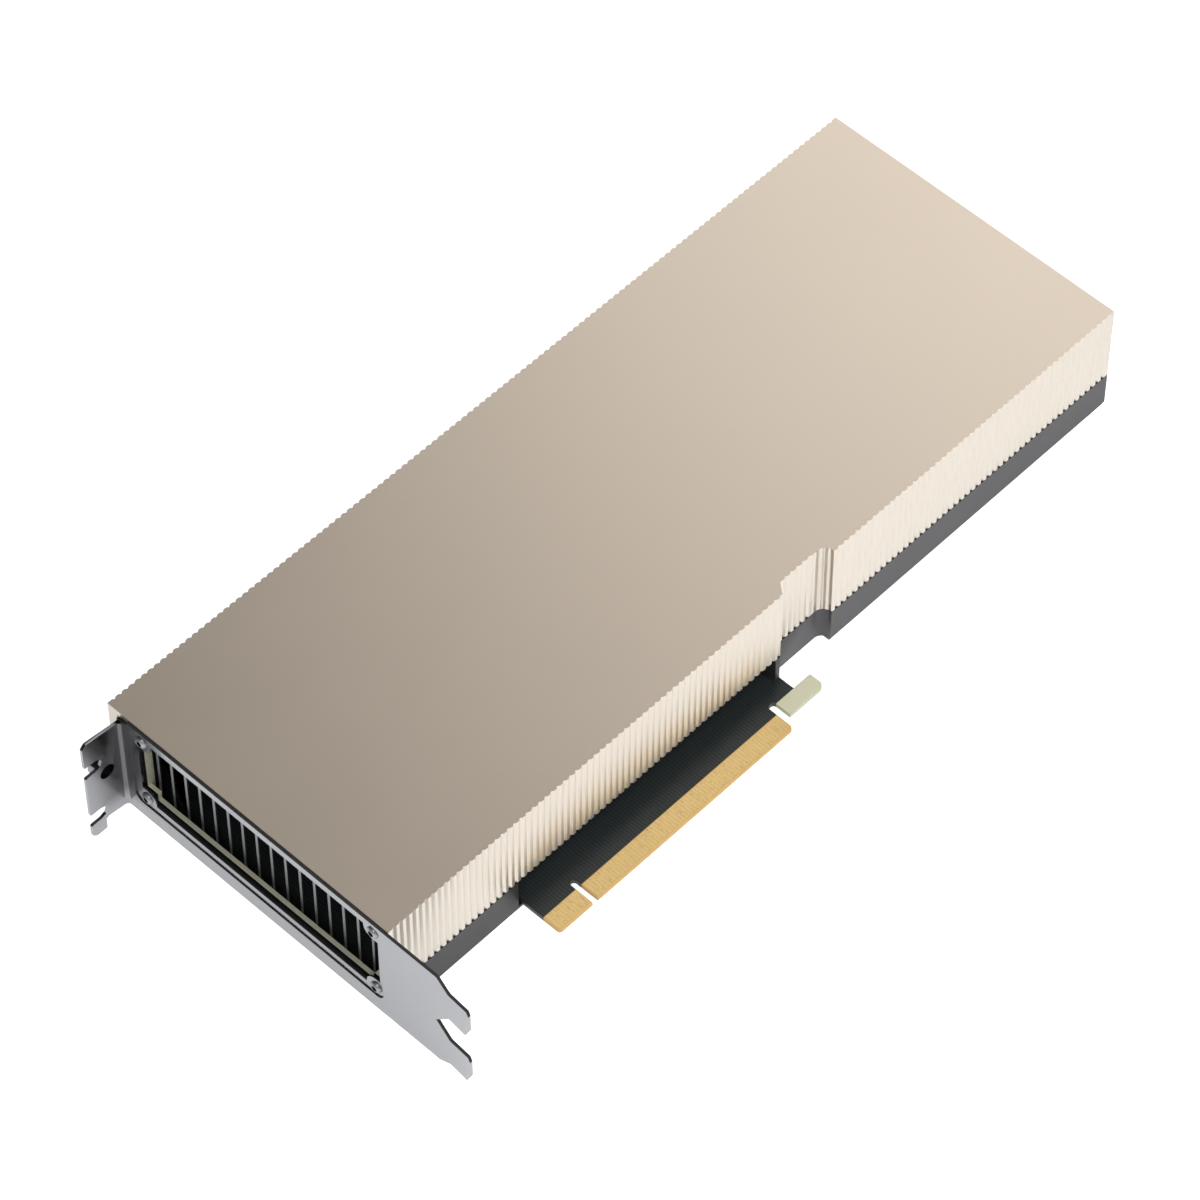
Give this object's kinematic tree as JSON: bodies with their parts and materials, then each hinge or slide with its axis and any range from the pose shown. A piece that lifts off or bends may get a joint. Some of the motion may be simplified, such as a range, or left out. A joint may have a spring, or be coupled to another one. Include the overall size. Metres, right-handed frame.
{
  "type": "passive accelerator card",
  "caption": "Full-height, dual-slot accelerator card with a ribbed champagne cover, through-flow heat sink and slot bracket.",
  "frame": {"origin": "middle of the flat back plate's outer face", "axes": "+X from the slot bracket to the air inlet, -Y towards the edge connector, +Z out of the back plate through the cover's flat top"},
  "size_m": [0.28, 0.1255, 0.0403],
  "materials": {
    "champagne_cover": "fine satin anodised",
    "bare_aluminium": "satin",
    "black_rubber": "matte",
    "dark_grey_metal": "satin anodised",
    "insulating_film": "matte film",
    "board_laminate": "solder mask",
    "gold_plating": "plated",
    "bracket_steel": "satin plated",
    "screw_steel": "satin",
    "black_heat_sink": "black anodised",
    "copper": "machined",
    "package_laminate": "solder mask",
    "silicon": "polished",
    "ferrite": "moulded",
    "black_plastic": "moulded",
    "thermal_pad": "soft",
    "brass": "turned"
  },
  "bodies": {
    "root": {"shroud": "champagne_cover", "front_frame": "champagne_cover", "vent_grille": "bare_aluminium", "vent_gasket": "black_rubber", "base_frame": "dark_grey_metal", "back_plate": "dark_grey_metal", "insulating_sheet": "insulating_film", "circuit_board": "board_laminate", "contacts_top": "gold_plating", "contacts_bottom": "gold_plating", "bracket": "bracket_steel", "bracket_screws": "screw_steel", "heat_sink": "black_heat_sink", "cold_plate": "copper", "gpu_substrate": "package_laminate", "substrate_stiffener": "bare_aluminium", "gpu_die": "silicon", "memory_stacks": "silicon", "power_inductors": "ferrite", "power_stages": "black_plastic", "capacitors": "ferrite", "input_chokes": "ferrite", "board_controller": "black_plastic", "flash_memory": "black_plastic", "thermal_pads": "thermal_pad", "board_standoffs": "brass", "rail_screws": "screw_steel", "clamp_screws": "screw_steel", "power_connector": "black_plastic", "power_pins": "gold_plating"}
  },
  "joints": []
}
